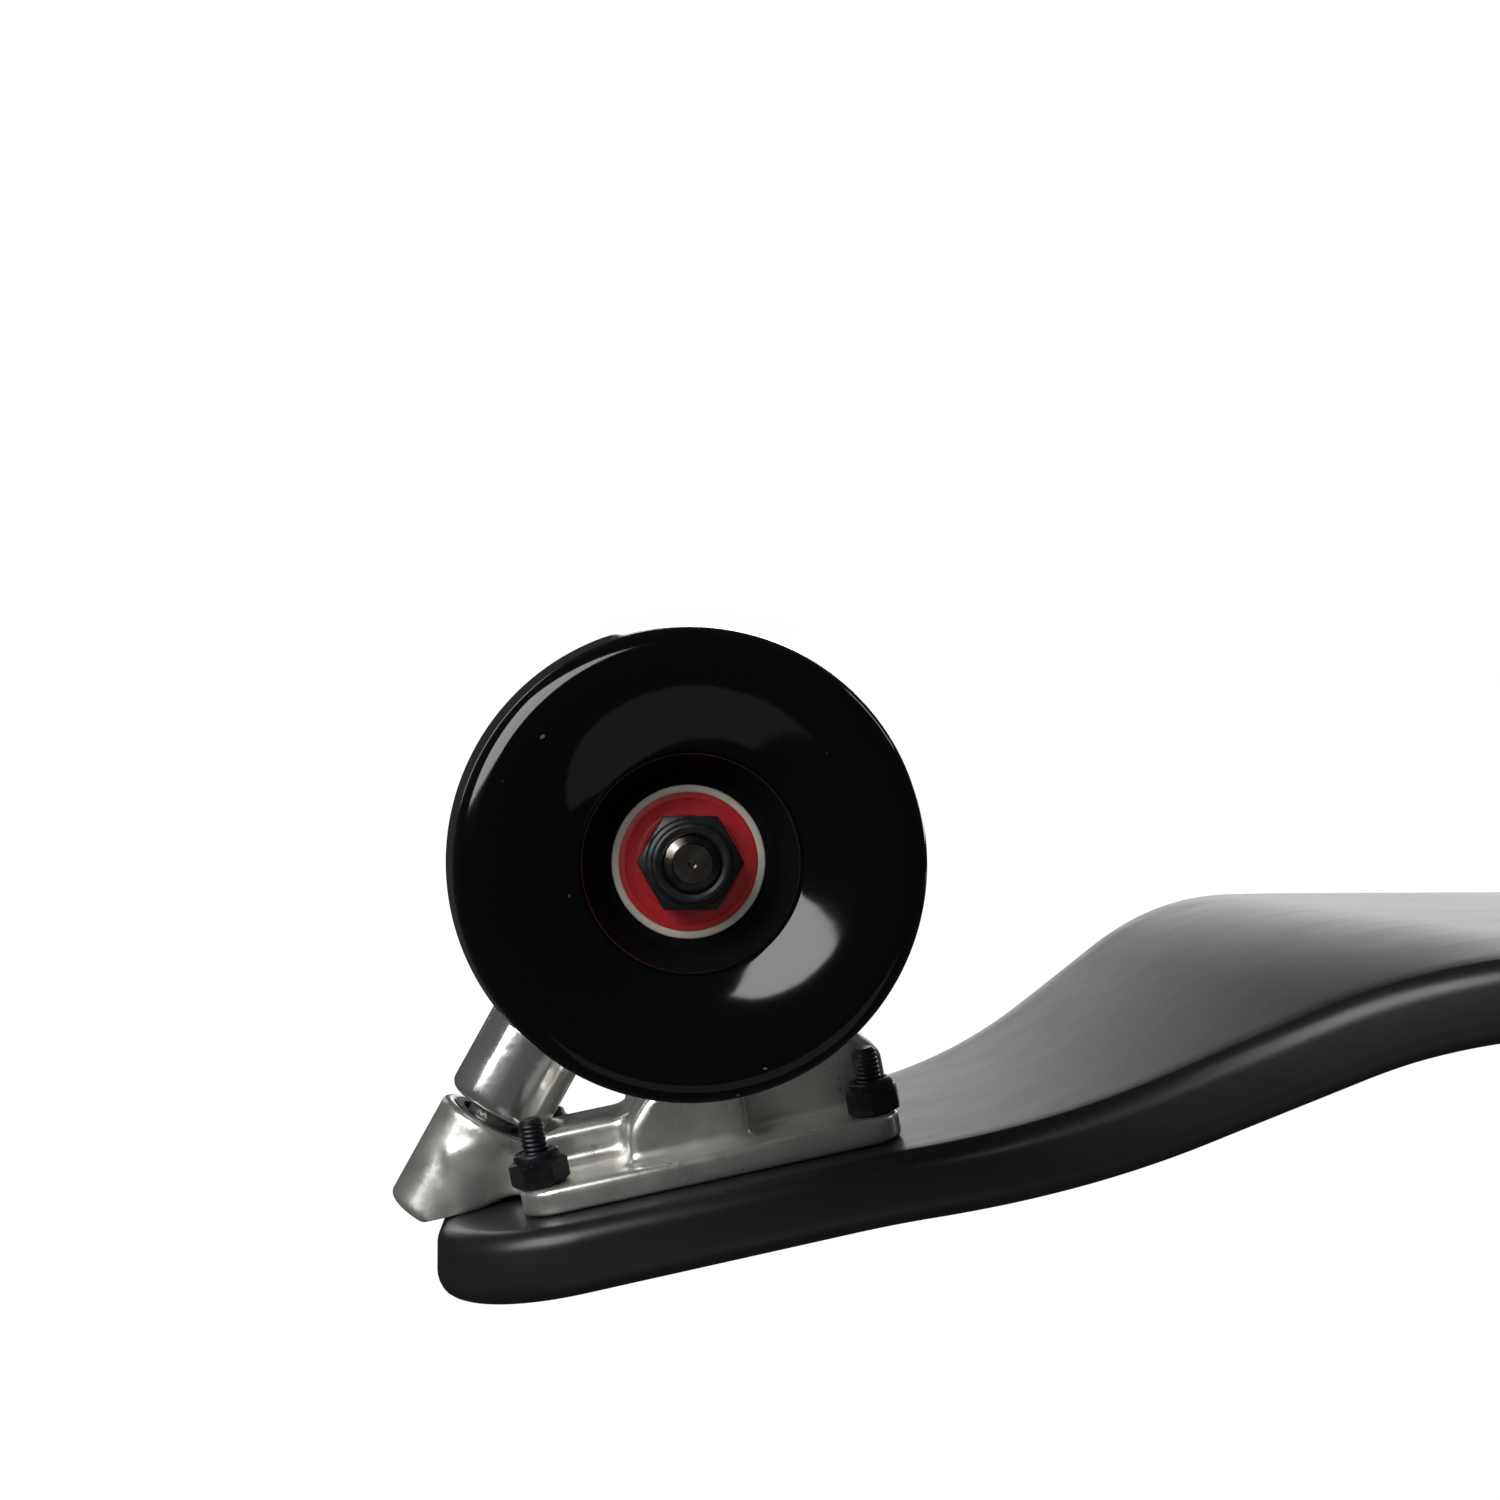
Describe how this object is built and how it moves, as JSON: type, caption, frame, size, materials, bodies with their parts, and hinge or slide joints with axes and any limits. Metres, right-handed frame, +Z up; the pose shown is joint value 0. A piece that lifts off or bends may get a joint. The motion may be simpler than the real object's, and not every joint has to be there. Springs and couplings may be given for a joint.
{
  "type": "electric skateboard",
  "caption": "Short drop-deck electric skateboard with kingpin trucks, cast urethane wheels, a rear hub motor and an electronics box under the deck.",
  "frame": {"origin": "on the ground, under the middle of the board", "axes": "+X to the nose, +Y to the rider's left, +Z up"},
  "size_m": [0.7068, 0.22, 0.119],
  "materials": {
    "deck_lacquer": "satin black lacquer over pressed maple",
    "grip_tape": "black silicon carbide grit sheet",
    "black_steel": "black oxide steel",
    "axle_nut_steel": "black plated steel with a nylon collar",
    "enclosure_abs": "fine textured moulded plastic",
    "gasket_rubber": "moulded black rubber",
    "cell_wrap": "shrink wrap",
    "tray_plastic": "moulded",
    "circuit_board": "solder mask",
    "heatsink_aluminium": "extruded, clear anodised",
    "bezel_metal": "dark anodised",
    "button_plastic": "moulded",
    "light_lens": "frosted lens",
    "cable_sheath": "extruded",
    "pivot_cup_urethane": "cast urethane",
    "washer_steel": "zinc plated",
    "plate_aluminium": "polished casting",
    "bushing_urethane": "cast urethane",
    "hanger_aluminium": "polished casting",
    "axle_steel": "bright turned steel",
    "bearing_steel": "ground chrome steel",
    "wheel_urethane": "gloss black cast urethane",
    "core_plastic": "moulded black",
    "shield_red": "red rubber shield",
    "motor_can_metal": "black anodised aluminium",
    "magnet_nickel": "nickel plated",
    "stator_steel": "laminated",
    "winding_copper": "enamelled copper"
  },
  "bodies": {
    "board": {"deck": "deck_lacquer", "grip_tape": "grip_tape", "truck_bolts": "black_steel", "truck_nuts": "black_steel", "enclosure_shell": "enclosure_abs", "enclosure_gasket": "gasket_rubber", "enclosure_screws": "black_steel", "battery_cells": "cell_wrap", "battery_tray": "tray_plastic", "controller_board": "circuit_board", "controller_heatsink": "heatsink_aluminium", "charge_port": "enclosure_abs", "charge_port_hinge": "enclosure_abs", "button_bezel": "bezel_metal", "status_lights": "light_lens", "motor_cable": "cable_sheath", "cable_clips": "enclosure_abs", "cable_gland": "gasket_rubber", "pivot_cups": "pivot_cup_urethane", "kingpins": "black_steel", "kingpin_nuts": "black_steel", "cup_washers": "washer_steel", "front_baseplate": "plate_aluminium", "front_lower_bushing": "bushing_urethane", "front_upper_bushing": "bushing_urethane", "rear_baseplate": "plate_aluminium", "rear_lower_bushing": "bushing_urethane", "rear_upper_bushing": "bushing_urethane"},
    "front_left_wheel": {"front_left_tyre": "wheel_urethane", "front_left_core": "core_plastic", "front_left_bearing_outer_rings": "bearing_steel", "front_left_bearing_shields": "shield_red"},
    "front_right_wheel": {"front_right_tyre": "wheel_urethane", "front_right_core": "core_plastic", "front_right_bearing_outer_rings": "bearing_steel", "front_right_bearing_shields": "shield_red"},
    "rear_left_wheel": {"rear_left_tyre": "wheel_urethane", "rear_left_core": "core_plastic", "rear_left_bearing_outer_rings": "bearing_steel", "rear_left_bearing_shields": "shield_red"},
    "rear_right_hub_motor": {"motor_tyre": "wheel_urethane", "motor_can": "motor_can_metal", "motor_cover": "motor_can_metal", "motor_magnets": "magnet_nickel", "motor_bearing_outer_rings": "bearing_steel"},
    "front_truck_hanger": {"front_hanger": "hanger_aluminium", "front_axle": "axle_steel", "front_axle_nuts": "axle_nut_steel", "front_axle_washers": "washer_steel", "front_bearing_inner_rings": "bearing_steel"},
    "rear_truck_hanger": {"rear_hanger": "hanger_aluminium", "rear_axle": "axle_steel", "rear_axle_nuts": "axle_nut_steel", "rear_axle_washers": "washer_steel", "rear_bearing_inner_rings": "bearing_steel", "motor_stator": "stator_steel", "motor_windings": "winding_copper", "motor_lead": "cable_sheath"},
    "power_button": {"power_button": "button_plastic"},
    "charge_cap": {"charge_port_cap": "gasket_rubber"}
  },
  "joints": [
    {"name": "front_steer", "type": "hinge", "parent": "board", "child": "front_truck_hanger", "pos_m": [0.27643, 0, 0.05572], "axis": [-0.8434, 0, -0.5373], "range_deg": [-15, 15], "stiffness_Nm_per_rad": 60, "deforming": ["front_lower_bushing", "front_upper_bushing"]},
    {"name": "rear_steer", "type": "hinge", "parent": "board", "child": "rear_truck_hanger", "pos_m": [-0.27643, 0, 0.05572], "axis": [0.8434, 0, -0.5373], "range_deg": [-15, 15], "stiffness_Nm_per_rad": 60, "deforming": ["rear_lower_bushing", "rear_upper_bushing"]},
    {"name": "front_left_spin", "type": "hinge", "parent": "front_truck_hanger", "child": "front_left_wheel", "pos_m": [0.3, 0.0845, 0.035], "axis": [0, 1, 0], "continuous": true},
    {"name": "front_right_spin", "type": "hinge", "parent": "front_truck_hanger", "child": "front_right_wheel", "pos_m": [0.3, -0.0845, 0.035], "axis": [0, 1, 0], "continuous": true},
    {"name": "rear_left_spin", "type": "hinge", "parent": "rear_truck_hanger", "child": "rear_left_wheel", "pos_m": [-0.3, 0.0845, 0.035], "axis": [0, 1, 0], "continuous": true},
    {"name": "hub_motor_spin", "type": "hinge", "parent": "rear_truck_hanger", "child": "rear_right_hub_motor", "pos_m": [-0.3, -0.0845, 0.035], "axis": [0, 1, 0], "continuous": true},
    {"name": "power_button_press", "type": "slide", "parent": "board", "child": "power_button", "axis": [0, 1, 0], "range_m": [0, 0.0012], "stiffness_N_per_m": 600},
    {"name": "charge_cap_hinge", "type": "hinge", "parent": "board", "child": "charge_cap", "pos_m": [0.03, -0.0686, 0.04194], "axis": [-1, 0, 0], "range_deg": [0, 100]}
  ]
}
